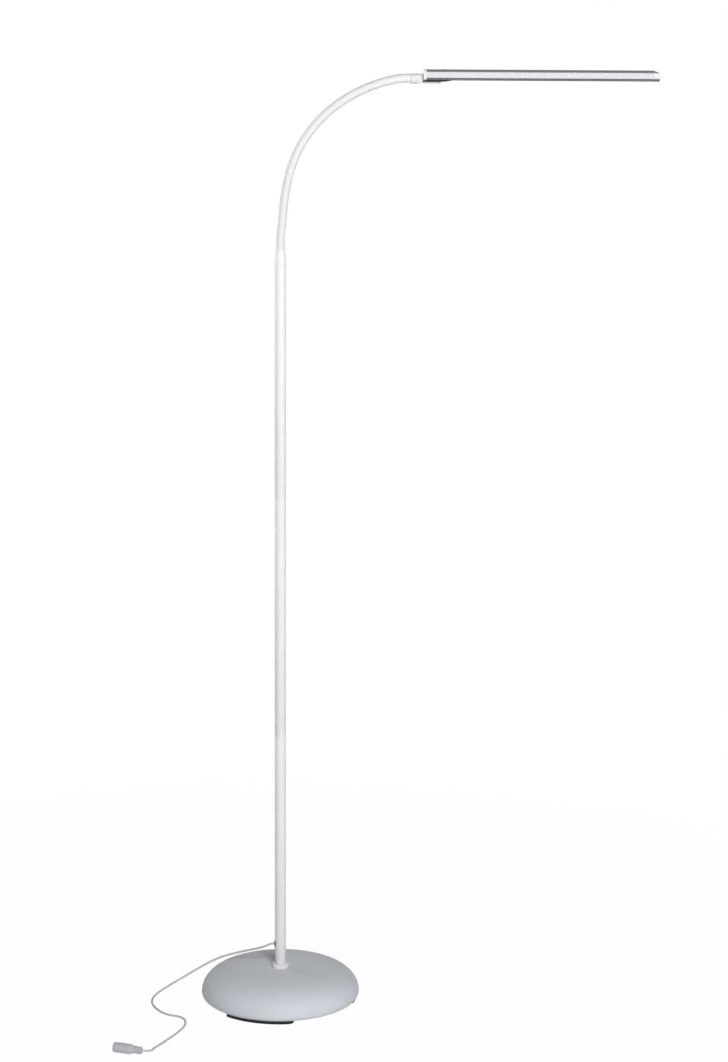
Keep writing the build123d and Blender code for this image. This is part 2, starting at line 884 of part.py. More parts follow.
# ---- all sub-parts ----
parts = {
    "foot_pad": make_foot_pad(),
    "base_plate": make_base_plate(),
    "plate_screws": make_plate_screws(),
    "base_weight": make_base_weight(),
    "base_cover": make_base_cover(),
    "base_bolt": make_base_bolt(),
    "bolt_washer": make_bolt_washer(),
    "pole_collar": make_pole_collar(),
    "pole_plug": make_pole_plug(),
    "lower_tube": make_lower_tube(),
    "lower_coupler": make_coupler(lower_joint),
    "middle_tube": pole_tube(lower_joint, upper_joint),
    "upper_coupler": make_coupler(upper_joint),
    "upper_tube": make_upper_tube(),
    "cord_grommet": make_cord_grommet(),
    "pole_cable": make_pole_cable(),
    "neck_ferrule": make_neck_ferrule(),
    "grub_screw": make_grub_screw(),
    "head_bracket": make_head_bracket(),
    "bracket_shim": make_bracket_shim(),
    "bracket_screws": make_bracket_screws(),
    "nut_plate": make_nut_plate(),
    "head_profile": make_head_profile(),
    "inner_end_cap": make_inner_end_cap(),
    "outer_end_cap": make_outer_end_cap(),
    "diffuser": make_diffuser(),
    "led_board": make_led_board(),
    "leds": make_leds(),
    "push_button": make_push_button(),
    "button_spring": make_button_spring(),
    "push_switch": make_switch(),
    "switch_board": make_switch_board(),
    "cord": make_cord(),
    "strain_relief": make_strain_relief(),
    "connector_shell": make_connector_shell(),
    "connector_insert": make_connector_insert(),
    "connector_contacts": make_connector_contacts(),
}
for link in range(last_link + 1):
    parts[f"neck_sleeve_{link:02d}"] = make_neck_sleeve(link)
    parts[f"neck_core_{link:02d}"] = make_neck_core(link)

os.makedirs("parts", exist_ok=True)
for name, solid in parts.items():
    export_step(solid, f"parts/{name}.step")
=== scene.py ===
import math

import bpy
from mathutils import Matrix, Vector


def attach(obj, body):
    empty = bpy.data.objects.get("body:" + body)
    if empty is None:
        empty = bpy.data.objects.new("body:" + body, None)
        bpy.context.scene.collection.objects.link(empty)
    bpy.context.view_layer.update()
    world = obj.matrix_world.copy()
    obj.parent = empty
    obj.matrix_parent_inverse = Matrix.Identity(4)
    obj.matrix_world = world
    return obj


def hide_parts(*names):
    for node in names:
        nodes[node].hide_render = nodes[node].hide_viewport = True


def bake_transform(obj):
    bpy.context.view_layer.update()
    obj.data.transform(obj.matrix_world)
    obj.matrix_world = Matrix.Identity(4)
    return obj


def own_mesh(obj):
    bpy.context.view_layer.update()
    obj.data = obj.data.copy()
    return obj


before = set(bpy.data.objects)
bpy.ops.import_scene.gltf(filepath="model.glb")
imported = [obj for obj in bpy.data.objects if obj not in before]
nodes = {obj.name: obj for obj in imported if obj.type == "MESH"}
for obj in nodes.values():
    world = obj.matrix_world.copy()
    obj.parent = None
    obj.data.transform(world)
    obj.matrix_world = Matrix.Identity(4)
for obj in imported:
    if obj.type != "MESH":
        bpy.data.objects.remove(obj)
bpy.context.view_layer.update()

print("frame loaded,", len(nodes), "nodes")

# camera: the lamp head is level with the lens, the base is seen from a little above
cameraSettings = {
    "place": (0.1187, -3.5, 1.324665), "lookDown": 0.178, "roll": 0.00573,
    "lens": 85.0, "sensor": 36.0, "nearest": 0.05, "furthest": 60.0,
}


def addObject(name, data):
    piece = bpy.data.objects.new(name, data)
    bpy.context.scene.collection.objects.link(piece)
    return piece


cameraData = bpy.data.cameras.new("camera")
camera = addObject("camera", cameraData)
cameraData.lens = cameraSettings["lens"]
cameraData.sensor_width = cameraSettings["sensor"]
cameraData.clip_start = cameraSettings["nearest"]
cameraData.clip_end = cameraSettings["furthest"]
camera.matrix_world = (
    Matrix.Translation(cameraSettings["place"])
    @ Matrix.Rotation(math.pi / 2 - cameraSettings["lookDown"], 4, "X")
    @ Matrix.Rotation(cameraSettings["roll"], 4, "Z")
)
bpy.context.scene.camera = camera
bpy.context.scene.view_settings.view_transform = "Standard"
print("camera set")

mergeReach = 0.000002  # points nearer than this are one point
sameSpot = 0.00001  # a corner is found again within this


# shared tools for modelling
def enter(mode):
    bpy.ops.object.mode_set(mode=mode)


def clearSelection():
    if bpy.context.object and bpy.context.object.mode != "OBJECT":
        enter("OBJECT")
    bpy.ops.object.select_all(action="DESELECT")


def pick(piece):
    clearSelection()
    piece.select_set(True)
    bpy.context.view_layer.objects.active = piece


def selectMesh():
    bpy.ops.mesh.select_all(action="SELECT")


def beginEdit(name):
    # names the object just added and selects its whole mesh for editing
    piece = bpy.context.active_object
    piece.name = name
    piece.data.name = name
    enter("EDIT")
    selectMesh()
    return piece


def startPoint(name, place):
    # a small plane merged to one point, ready to be extruded
    clearSelection()
    bpy.ops.mesh.primitive_plane_add(size=0.001, location=place)
    piece = beginEdit(name)
    bpy.ops.mesh.select_mode(type="VERT")
    bpy.ops.mesh.merge(type="CENTER")
    return piece


def extrudeThrough(points):
    # a chain of edges from the first point through all the others
    for start, end in zip(points, points[1:]):
        step = tuple(b - a for a, b in zip(start, end))
        bpy.ops.mesh.extrude_vertices_move(TRANSFORM_OT_translate={"value": step})


def extrudeBy(step):
    bpy.ops.mesh.extrude_region_move(TRANSFORM_OT_translate={"value": step})


def filledOutline(name, points):
    piece = startPoint(name, points[0])
    extrudeThrough(points)
    selectMesh()
    bpy.ops.mesh.edge_face_add()
    return piece


def slabPiece(name, points, step):
    # a flat outline drawn out by one step
    piece = filledOutline(name, points)
    extrudeBy(step)
    return closeForm(piece)


def mergePoints():
    selectMesh()
    bpy.ops.mesh.remove_doubles(threshold=mergeReach)


def bakePlace(piece):
    pick(piece)
    bpy.ops.object.transform_apply(location=True, rotation=True, scale=True)


def closeForm(piece):
    # normals point outwards, and the piece's place goes into its mesh
    selectMesh()
    bpy.ops.mesh.normals_make_consistent(inside=False)
    enter("OBJECT")
    bakePlace(piece)
    return piece


def smoothEdges(piece, angle=32):
    pick(piece)
    bpy.ops.object.shade_smooth_by_angle(angle=math.radians(angle))
    return piece


def turnedPiece(name, profile, segments=96, closed=True, angle=32):
    # profile points are (radius, height); the chain is spun round the upright axis
    line = [(radius, 0, height) for radius, height in profile]
    if closed:
        line.append(line[0])
    piece = startPoint(name, line[0])
    extrudeThrough(line)
    selectMesh()
    bpy.ops.mesh.spin(steps=segments, angle=math.tau, center=(0, 0, 0), axis=(0, 0, 1))
    mergePoints()
    return smoothEdges(closeForm(piece), angle)


def polar(radius, angle):
    return radius * math.cos(angle), radius * math.sin(angle)


def around(radius, height, offsets):
    # profile points given by how far they lie outwards and upwards of one point
    return [(radius + outward, height + upward) for outward, upward in offsets]


def arcPoints(centre, radius, start, end, steps):
    # points of an arc, both of its ends among them; angles in radians
    points = []
    for index in range(steps + 1):
        across, along = polar(radius, start + (end - start) * index / steps)
        points.append((centre[0] + across, centre[1] + along))
    return points


def roundedCorner(radius, height, size, turn=0, steps=4):
    # a quarter round on a profile; radius and height are the corner's, turn is where it starts, in degrees
    start = math.radians(turn)
    centre = (radius - size, height - size if turn == 0 else height + size)
    return arcPoints(centre, size, start, start + math.pi / 2, steps)


def sectionPiece(name, outline, x0, x1, rounds=(), segments=8):
    # outline points are (y, z); the corners named in rounds are bevelled, then it is drawn out along X
    piece = filledOutline(name, [(x0, y, z) for y, z in outline])
    for corners, size in rounds:
        bpy.ops.mesh.select_all(action="DESELECT")
        enter("OBJECT")
        for vertex in piece.data.vertices:
            place = piece.matrix_world @ vertex.co
            vertex.select = any(
                abs(place.y - y) < sameSpot and abs(place.z - z) < sameSpot for y, z in corners
            )
        enter("EDIT")
        bpy.ops.mesh.bevel(offset=size, offset_pct=0, segments=segments, affect="VERTICES")
    selectMesh()
    extrudeBy((x1 - x0, 0, 0))
    return smoothEdges(closeForm(piece))


def applyModifier(piece, kind, **values):
    pick(piece)
    modifier = piece.modifiers.new(kind.lower(), kind)
    for key, value in values.items():
        setattr(modifier, key, value)
    bpy.ops.object.modifier_apply(modifier=modifier.name)
    return piece


def softenEdges(piece, width, segments=2, angle=32):
    applyModifier(piece, "BEVEL", width=width, segments=segments, limit_method="ANGLE",
                  angle_limit=math.radians(angle), use_clamp_overlap=True)
    return smoothEdges(piece, angle + 8)


def cutWith(piece, tool, operation="DIFFERENCE"):
    applyModifier(piece, "BOOLEAN", object=tool, operation=operation, solver="EXACT")
    bpy.data.objects.remove(tool)
    return piece


def turnTo(piece, turn):
    # turns a piece modelled upright, then puts the turn in its mesh
    piece.matrix_world = turn
    bakePlace(piece)
    return piece


def lieAlong(place, heading):
    # upright Z goes to heading, at place
    return Matrix.Translation(place) @ Vector(heading).to_track_quat("Z", "Y").to_matrix().to_4x4()


def drillTool(radius, place, heading, length, sides=40):
    clearSelection()
    bpy.ops.mesh.primitive_cylinder_add(vertices=sides, radius=radius, depth=length)
    return turnTo(bpy.context.active_object, lieAlong(place, heading))


def dress(piece, material):
    piece.data.materials.clear()
    piece.data.materials.append(material)


def settle(piece, body, slotName, material, *replaced):
    dress(piece, material)
    if body:
        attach(piece, body)
    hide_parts(*replaced)
    return piece


# shared node groups
def newGroup(name, inputs, outputs):
    group = bpy.data.node_groups.new(name, "ShaderNodeTree")
    for label, value in inputs:
        socket = group.interface.new_socket(label, in_out="INPUT", socket_type="NodeSocketFloat")
        socket.default_value = value
    for label in outputs:
        group.interface.new_socket(label, in_out="OUTPUT", socket_type="NodeSocketFloat")
    entry = group.nodes.new("NodeGroupInput")
    leave = group.nodes.new("NodeGroupOutput")
    return group, entry.outputs, leave.inputs


def feed(tree, socket, value):
    # numbers and tones are set on the socket, and another node's output is linked to it
    if isinstance(value, (int, float)):
        socket.default_value = value
    elif isinstance(value, tuple):
        socket.default_value = (*value, 1)
    else:
        tree.links.new(value, socket)


def mathNode(tree, operation, *values, clamp=False):
    node = tree.nodes.new("ShaderNodeMath")
    node.operation = operation
    node.use_clamp = clamp
    for socket, value in zip(node.inputs, values):
        feed(tree, socket, value)
    return node.outputs[0]


def times(tree, first, second, clamp=False):
    return mathNode(tree, "MULTIPLY", first, second, clamp=clamp)


def rangeNode(tree, value, fromEnds, toEnds, smooth=False):
    node = tree.nodes.new("ShaderNodeMapRange")
    if smooth:
        node.interpolation_type = "SMOOTHSTEP"
    feed(tree, node.inputs["Value"], value)
    for label, end in zip(("From Min", "From Max", "To Min", "To Max"), (*fromEnds, *toEnds)):
        feed(tree, node.inputs[label], end)
    return node.outputs["Result"]


def noiseNode(tree, vector, scale, detail=3.0, roughness=0.55):
    node = tree.nodes.new("ShaderNodeTexNoise")
    for label, value in (("Vector", vector), ("Scale", scale), ("Detail", detail), ("Roughness", roughness)):
        feed(tree, node.inputs[label], value)
    return node.outputs["Fac"]


def spread(tree, value, low=0.0, high=1.0):
    # noise sits near 0.5, so its middle part is drawn out to low..high
    return rangeNode(tree, value, (0.3, 0.7), (low, high))


def splitAxes(tree, vector):
    node = tree.nodes.new("ShaderNodeSeparateXYZ")
    tree.links.new(vector, node.inputs[0])
    return node.outputs


def coordinates(tree, label="Object"):
    return tree.nodes.new("ShaderNodeTexCoord").outputs[label]


def makeCoatingGroup():
    # slow clouding, fine orange peel and a light speckle, as sprayed and moulded skins have
    scales = [("Cloud Scale", 12.0), ("Peel Scale", 900.0), ("Speck Scale", 2600.0)]
    group, entry, leave = newGroup("coatingSkin", scales, ["Cloud", "Peel", "Speck"])
    place = coordinates(group)
    for label, detail in (("Cloud", 4.0), ("Peel", 2.0), ("Speck", 1.0)):
        noise = noiseNode(group, place, entry[f"{label} Scale"], detail, 0.5)
        feed(group, leave[label], noise if label == "Peel" else spread(group, noise))
    return group


def makeFlakeGroup():
    # metal flakes in paint: each small cell has its own brightness and tilt
    group, entry, leave = newGroup("paintFlakes", [("Flake Scale", 1800.0)], ["Glint", "Tilt"])
    cells = group.nodes.new("ShaderNodeTexVoronoi")
    feed(group, cells.inputs["Vector"], coordinates(group))
    feed(group, cells.inputs["Scale"], entry["Flake Scale"])
    split = group.nodes.new("ShaderNodeSeparateColor")
    feed(group, split.inputs["Color"], cells.outputs["Color"])
    feed(group, leave["Glint"], split.outputs["Red"])
    feed(group, leave["Tilt"], split.outputs["Green"])
    return group


def makeDrawnGroup():
    # long fine lines along X, as drawn or brushed metal has
    scales = [("Line Scale", 1400.0), ("Band Scale", 160.0), ("Stretch", 0.02)]
    group, entry, leave = newGroup("drawnLines", scales, ["Lines", "Bands"])
    axes = splitAxes(group, coordinates(group))
    join = group.nodes.new("ShaderNodeCombineXYZ")
    feed(group, join.inputs["X"], times(group, axes["X"], entry["Stretch"]))
    feed(group, join.inputs["Y"], axes["Y"])
    feed(group, join.inputs["Z"], axes["Z"])
    lines = noiseNode(group, join.outputs[0], entry["Line Scale"], 3.0, 0.6)
    bands = noiseNode(group, join.outputs[0], entry["Band Scale"], 2.0, 0.5)
    feed(group, leave["Lines"], spread(group, lines))
    feed(group, leave["Bands"], spread(group, bands))
    return group


def makeDustGroup():
    # a thin veil that settles on faces that look up
    group, entry, leave = newGroup("settledDust", [("Amount", 0.2), ("Dust Scale", 60.0)], ["Dust"])
    upward = mathNode(group, "MAXIMUM", splitAxes(group, coordinates(group, "Normal"))["Z"], 0.0)
    patches = noiseNode(group, coordinates(group), entry["Dust Scale"], 5.0, 0.65)
    veil = times(group, mathNode(group, "POWER", upward, 3.0), spread(group, patches, 0.2))
    feed(group, leave["Dust"], times(group, veil, entry["Amount"], clamp=True))
    return group


def makeRoundingShadeGroup():
    # marks the roundings along a section's long edges, not its flat sides, top and underside, where painted
    # shade is laid
    group, _, leave = newGroup("sectionRoundingShade", [], ["Upper", "Lower"])
    begins, ends = (0.2, 0.4), (0.985, 0.998)  # how far the normal turns up or down over each end of it
    upward = splitAxes(group, coordinates(group, "Normal"))["Z"]
    for label, turn in (("Upper", upward), ("Lower", times(group, upward, -1.0))):
        begin = rangeNode(group, turn, begins, (0.0, 1.0))
        finish = rangeNode(group, turn, ends, (1.0, 0.0))
        feed(group, leave[label], times(group, begin, finish, clamp=True))
    return group


coatingGroup = makeCoatingGroup()
flakeGroup = makeFlakeGroup()
drawnGroup = makeDrawnGroup()
dustGroup = makeDustGroup()
roundingShadeGroup = makeRoundingShadeGroup()
print("node groups made")


# materials
def placeGroup(tree, group, **values):
    node = tree.nodes.new("ShaderNodeGroup")
    node.node_tree = group
    for label, value in values.items():
        node.inputs[label.replace("_", " ")].default_value = value
    return node.outputs


def mixTones(tree, factor, first, second):
    node = tree.nodes.new("ShaderNodeMix")
    node.data_type = "RGBA"
    for socket, value in (("Factor", factor), (6, first), (7, second)):  # 6 and 7 are its two colours
        feed(tree, node.inputs[socket], value)
    return node.outputs[2]


def weigh(tree, first, second, share):
    # share of the second, the rest from the first
    rest = times(tree, first, 1 - share)
    return mathNode(tree, "ADD", rest, times(tree, second, share), clamp=True)


def newMaterial(name, shaderValues):
    material = bpy.data.materials.new(name)
    material.use_nodes = True
    tree = material.node_tree
    shader = tree.nodes["Principled BSDF"].inputs
    for label, value in shaderValues.items():
        shader[label].default_value = value
    return material, tree, shader


def finishSkin(tree, shader, tone, gloss, rough, height, bump, depth):
    node = tree.nodes.new("ShaderNodeBump")
    for label, value in (("Strength", bump), ("Distance", depth), ("Height", height)):
        feed(tree, node.inputs[label], value)
    feed(tree, shader["Base Color"], tone)
    feed(tree, shader["Roughness"], spread(tree, gloss, *rough))
    feed(tree, shader["Normal"], node.outputs["Normal"])


def skinMaterial(name, light, dark, rough, cloudScale=12.0, peelScale=900.0, speckShare=0.15,
                 bump=0.15, depth=0.00005, dust=0.15, dustTone=(0.62, 0.61, 0.59), **shaderValues):
    # paint, moulded plastic and rubber: two tones clouded together, specks, peel and dust
    material, tree, shader = newMaterial(name, shaderValues)
    skin = placeGroup(tree, coatingGroup, Cloud_Scale=cloudScale, Peel_Scale=peelScale)
    tone = mixTones(tree, weigh(tree, skin["Cloud"], skin["Speck"], speckShare), dark, light)
    veil = placeGroup(tree, dustGroup, Amount=dust)["Dust"]
    tone = mixTones(tree, veil, tone, dustTone)
    finishSkin(tree, shader, tone, skin["Peel"], rough, skin["Peel"], bump, depth)
    return material


def flakeMaterial(name, light, dark, rough, flakeScale, cloudScale, peelScale, glint, tilt, bump, depth,
                  dust, dustTone):
    # metallic paint: flakes under a clear coat
    material, tree, shader = newMaterial(name, {})
    flakes = placeGroup(tree, flakeGroup, Flake_Scale=flakeScale)
    skin = placeGroup(tree, coatingGroup, Cloud_Scale=cloudScale, Peel_Scale=peelScale)
    tone = mixTones(tree, weigh(tree, skin["Cloud"], flakes["Glint"], glint), dark, light)
    veil = placeGroup(tree, dustGroup, Amount=dust)["Dust"]
    height = mathNode(tree, "ADD", times(tree, flakes["Tilt"], tilt), skin["Peel"])
    tone = mixTones(tree, veil, tone, dustTone)
    finishSkin(tree, shader, tone, skin["Peel"], rough, height, bump, depth)
    return material


def drawnMaterial(name, light, dark, rough, lineScale, stretch, bump, depth=0.00003, cloudScale=18.0,
                  cloudShare=0.45, roundingShadeTones=(), **shaderValues):
    # drawn, rolled or brushed metal with its lines along X; the rounding shade tones paint shade and
    # reflection onto a section's two roundings
    material, tree, shader = newMaterial(name, shaderValues)
    drawn = placeGroup(tree, drawnGroup, Line_Scale=lineScale, Stretch=stretch)
    skin = placeGroup(tree, coatingGroup, Cloud_Scale=cloudScale)
    tone = mixTones(tree, weigh(tree, drawn["Lines"], skin["Cloud"], cloudShare), dark, light)
    if roundingShadeTones:
        # painted shade: the roundings take darker tones
        rounding = placeGroup(tree, roundingShadeGroup)
        for label, roundingShadeTone in zip(("Upper", "Lower"), roundingShadeTones):
            tone = mixTones(tree, rounding[label], tone, roundingShadeTone)
    finishSkin(tree, shader, tone, drawn["Bands"], rough, drawn["Lines"], bump, depth)
    return material


whitePaint = skinMaterial(
    "whitePaint", light=(0.87, 0.87, 0.87), dark=(0.83, 0.83, 0.835), rough=(0.32, 0.42), cloudScale=9.0,
    peelScale=1100.0, bump=0.1)
silverPaint = flakeMaterial(
    "silverPaint", light=(0.75, 0.785, 0.84), dark=(0.66, 0.69, 0.74), rough=(0.5, 0.58),
    flakeScale=2200.0, cloudScale=7.0, peelScale=700.0, glint=0.35, tilt=0.4, bump=0.06, depth=0.00005,
    dust=0.1, dustTone=(0.5, 0.5, 0.49))
blackPad = skinMaterial(
    "blackPad", light=(0.022, 0.022, 0.023), dark=(0.012, 0.012, 0.012), rough=(0.75, 0.95),
    peelScale=1500.0, bump=0.6, depth=0.0003, dust=0.02)
neckSleeve = skinMaterial(
    "neckSleeve", light=(0.785, 0.785, 0.785), dark=(0.76, 0.76, 0.76), rough=(0.5, 0.62),
    cloudScale=16.0, peelScale=1400.0, speckShare=0.04, bump=0.04)
whitePlastic = skinMaterial(
    "whitePlastic", light=(0.75, 0.75, 0.75), dark=(0.725, 0.725, 0.725), rough=(0.38, 0.5),
    peelScale=1600.0, speckShare=0.05, bump=0.05)
darkPlastic = skinMaterial(
    "darkPlastic", light=(0.035, 0.035, 0.037), dark=(0.022, 0.022, 0.024), rough=(0.45, 0.6),
    peelScale=1700.0, bump=0.2, dust=0.06)
diffuserPlastic = skinMaterial(
    "diffuserPlastic", light=(0.86, 0.86, 0.84), dark=(0.83, 0.83, 0.81), rough=(0.42, 0.55),
    peelScale=2400.0)
cordJacket = skinMaterial(
    "cordJacket", light=(0.68, 0.68, 0.69), dark=(0.58, 0.58, 0.59), rough=(0.45, 0.6), cloudScale=60.0,
    peelScale=1800.0, bump=0.2, dust=0.05)
connectorPlastic = skinMaterial(
    "connectorPlastic", light=(0.61, 0.60, 0.64), dark=(0.57, 0.56, 0.60), rough=(0.3, 0.42),
    cloudScale=40.0, peelScale=1500.0, speckShare=0.05, bump=0.05, dust=0.08)
grommetRubber = skinMaterial(
    "grommetRubber", light=(0.16, 0.16, 0.165), dark=(0.11, 0.11, 0.115), rough=(0.6, 0.75),
    cloudScale=90.0, peelScale=1800.0, bump=0.3)
buttonPlastic = skinMaterial(
    "buttonPlastic", light=(0.62, 0.62, 0.63), dark=(0.56, 0.56, 0.57), rough=(0.35, 0.48),
    cloudScale=70.0, peelScale=1900.0, bump=0.1)
boardMask = skinMaterial(
    "boardMask", light=(0.80, 0.82, 0.80), dark=(0.74, 0.77, 0.74), rough=(0.3, 0.4), cloudScale=80.0,
    peelScale=1300.0, bump=0.1)
ledResin = skinMaterial(
    "ledResin", light=(0.86, 0.74, 0.22), dark=(0.80, 0.66, 0.16), rough=(0.15, 0.25), cloudScale=300.0,
    bump=0.05, dust=0.0)
castIron = skinMaterial(
    "castIron", light=(0.075, 0.075, 0.08), dark=(0.03, 0.03, 0.032), rough=(0.55, 0.8), cloudScale=40.0,
    peelScale=500.0, bump=0.8, depth=0.0004, Metallic=0.6)
barRoundingShadeTones = ((0.36, 0.36, 0.365), (0.14, 0.14, 0.145))  # painted shade and reflection: darker tones on its upper and lower roundings, standing in for the dark surroundings they reflect
anodised = drawnMaterial(
    "anodised", light=(0.82, 0.83, 0.84), dark=(0.74, 0.75, 0.76), rough=(0.32, 0.38), lineScale=1500.0,
    stretch=0.015, bump=0.05, roundingShadeTones=barRoundingShadeTones, Metallic=0.85)
silverPlastic = drawnMaterial(
    "silverPlastic", light=(0.80, 0.81, 0.82), dark=(0.74, 0.75, 0.76), rough=(0.34, 0.4),
    lineScale=1500.0, stretch=0.3, bump=0.05, roundingShadeTones=barRoundingShadeTones, Metallic=0.6)
plainSteel = drawnMaterial(
    "plainSteel", light=(0.60, 0.60, 0.62), dark=(0.44, 0.44, 0.46), rough=(0.28, 0.42), lineScale=900.0,
    stretch=0.3, bump=0.1, Metallic=1.0)
spiralSteel = drawnMaterial(
    "spiralSteel", light=(0.50, 0.50, 0.52), dark=(0.36, 0.36, 0.38), rough=(0.32, 0.45), lineScale=900.0,
    stretch=0.3, bump=0.15, Metallic=1.0)
contactMetal = drawnMaterial(
    "contactMetal", light=(0.72, 0.66, 0.52), dark=(0.60, 0.54, 0.42), rough=(0.2, 0.3), lineScale=1200.0,
    stretch=0.3, bump=0.05, Metallic=1.0)
print("materials made")

# CAD nodes that keep their shape
keptFinish = {  # material and the nodes that wear it
    plainSteel: ["base_plate", "plate_screws", "base_bolt", "bolt_washer", "pole_plug", "lower_coupler",
                 "upper_coupler", "grub_screw", "nut_plate"],
    castIron: ["base_weight"],
    boardMask: ["led_board", "switch_board"],
    ledResin: ["leds"],
    darkPlastic: ["push_switch"],
    cordJacket: ["pole_cable"],
}
for finish, members in keptFinish.items():
    for member in members:
        dress(nodes[member], finish)

# free cord: the same route as its solid, on one smooth spline
cordSettings = {
    "diameter": 0.003,
    "length": 0.475,
    "route": [  # in millimetres, from the outlet to the connector
        (-8.9, 0.0, 82.0), (-14.9, 0.3, 81.4), (-25.0, 4.5, 74.8), (-41.0, 14.5, 67.5),
        (-60.0, 24.5, 60.0), (-84.0, 31.0, 51.5), (-105.0, 32.0, 42.0), (-124.0, 28.0, 31.8),
        (-143.0, 22.0, 21.8), (-162.0, 15.5, 12.2), (-177.0, 7.0, 5.0), (-185.5, -6.0, 1.8),
        (-187.0, -29.0, 1.6), (-180.5, -50.0, 1.6), (-170.0, -68.0, 1.6), (-157.5, -80.0, 1.6),
        (-144.0, -84.0, 1.6), (-134.5, -93.5, 1.6), (-131.0, -109.0, 1.6), (-132.5, -127.0, 1.6),
        (-142.0, -152.0, 1.6), (-150.5, -170.0, 1.6), (-157.5, -185.5, 1.8), (-163.5, -199.5, 2.6),
        (-168.0, -210.0, 4.0), (-168.9, -224.6, 6.4), (-175.9, -230.3, 7.2), (-183.5, -227.9, 7.2),
    ],
}


def makeCord(settings):
    curve = bpy.data.curves.new("cordLine", "CURVE")
    curve.dimensions = "3D"
    curve.resolution_u = 10
    curve.bevel_depth = settings["diameter"] / 2
    curve.bevel_resolution = 5
    curve.use_fill_caps = True
    spline = curve.splines.new("NURBS")
    route = settings["route"]
    spline.points.add(len(route) - 1)
    for point, place in zip(spline.points, route):
        point.co = (place[0] / 1000, place[1] / 1000, place[2] / 1000, 1)
    spline.order_u = 3
    spline.use_endpoint_u = True
    return addObject("cordLine", curve)


cordPiece = makeCord(cordSettings)
settle(cordPiece, "stand", "cord_jacket", cordJacket, "cord")
print("cord laid")

# base
coverSettings = {
    "radius": 0.115, "top": 0.0465, "wall": 0.0016, "widest": 0.012,
    "rim": 0.1095, "rimHeight": 0.0047, "flat": 0.020, "hole": 0.0078, "joinGap": 0.002,
    "sidePower": 5.5, "crownPower": 1.8, "rimSteps": 8, "crownSteps": 40,
}


def coverLine(settings, inset):
    # from the rim up to the flat round the pole
    radius, rim = settings["radius"] - inset, settings["rim"] - inset
    top, widest = settings["top"] - inset, settings["widest"]
    points = []
    for index in range(settings["rimSteps"] + 1):
        turn = math.pi / 2 * index / settings["rimSteps"]
        points.append((radius - (radius - rim) * (1 - math.sin(turn)),
                       widest - (widest - settings["rimHeight"]) * math.cos(turn)))
    for index in range(1, settings["crownSteps"]):
        turn = math.pi / 2 * index / settings["crownSteps"]
        reach = radius * math.cos(turn) ** (2 / settings["sidePower"])
        if reach < settings["flat"] + settings["joinGap"]:
            break
        points.append((reach, widest + (top - widest) * math.sin(turn) ** (2 / settings["crownPower"])))
    return points + [(settings["flat"], top), (settings["hole"], top)]


coverSkin = coverLine(coverSettings, 0) + coverLine(coverSettings, coverSettings["wall"])[::-1]
baseCover = turnedPiece("baseCover", coverSkin, segments=144, angle=40)
settle(baseCover, "stand", "silver_paint", silverPaint, "base_cover")

padSettings = {
    "inside": 0.090, "lobe": 0.1105, "corner": 0.010, "thickness": 0.0042, "edge": 0.0004, "edgeTurn": 50,
    "count": 3, "span": 59.0, "first": -106.4,
}


def padOutline(settings):
    # a disc of foam with round-cornered lobes out to the plate's edge
    inside, outside, corner = settings["inside"], settings["lobe"], settings["corner"]
    seat = outside - corner  # how far out the corners' centres are
    side = math.sqrt(seat**2 - corner**2)  # how far out a lobe's straight sides go
    turn = math.asin(corner / seat)
    half = math.radians(settings["span"]) / 2
    pitch = math.tau / settings["count"]
    points = []
    for lobe in range(settings["count"]):
        middle = math.radians(settings["first"]) + pitch * lobe
        flanks = []
        for hand in (-1, 1):
            foot = middle + hand * half
            centre = middle + hand * (half - turn)
            bend = arcPoints(polar(seat, centre), corner, centre + hand * (math.pi / 2 + turn), centre, 8)
            flanks.append([polar(inside, foot), polar(side, foot)] + bend[1:])
        points += arcPoints((0, 0), inside, middle - pitch + half, middle - half, 14)[1:-1]
        points += flanks[0]
        points += arcPoints((0, 0), outside, middle - half + turn, middle + half - turn, 12)[1:-1]
        points += flanks[1][::-1]
    return points


foamOutline = [(x, y, 0) for x, y in padOutline(padSettings)]
foamPad = slabPiece("foamPad", foamOutline, (0, 0, padSettings["thickness"]))
softenEdges(foamPad, padSettings["edge"], angle=padSettings["edgeTurn"])
settle(foamPad, "stand", "black_pad", blackPad, "foot_pad")

collarSettings = {"radius": 0.0122, "bottom": 0.0465, "top": 0.0523, "bore": 0.00805, "edge": 0.0018,
                  "foot": 0.0004, "lip": 0.0003}


def collarLine(radius, bottom, top, bore, edge, foot, lip):
    line = [(bore, bottom), (radius - foot, bottom), (radius, bottom + foot)]
    return line + roundedCorner(radius, top, edge, steps=6) + [(bore + lip, top), (bore, top - lip)]


settle(turnedPiece("poleCollar", collarLine(**collarSettings)),
       "stand", "white_paint", whitePaint, "pole_collar")
print("base made")

# pole
poleWall = {"radius": 0.008, "bore": 0.007, "edge": 0.0003, "soft": 0.00009}
poleDrill = 0.006  # length of the drill for its side holes
outletHeight = 0.082
tubeSettings = {  # ends of each tube, its side hole, and the rings above and below the hole
    "lower": {"ends": (0.048, 0.395), "hole": 0.0037, "height": outletHeight, "heading": (-1, 0, 0),
              "rings": (0.074, 0.090)},
    "middle": {"ends": (0.395, 0.742)},
    "upper": {"ends": (0.742, 1.070), "hole": 0.00155, "height": 1.060, "heading": (0, 1, 0),
              "rings": (1.056, 1.064)},
}


def tubeLine(bottom, top, rings, radius, bore, edge, soft):
    line = [(bore, bottom), (radius - edge, bottom), (radius - soft, bottom + soft), (radius, bottom + edge)]
    line += [(radius, height) for height in rings]
    line += [(radius, top - edge), (radius - soft, top - soft), (radius - edge, top), (bore, top)]
    return line + [(bore, height) for height in rings[::-1]]


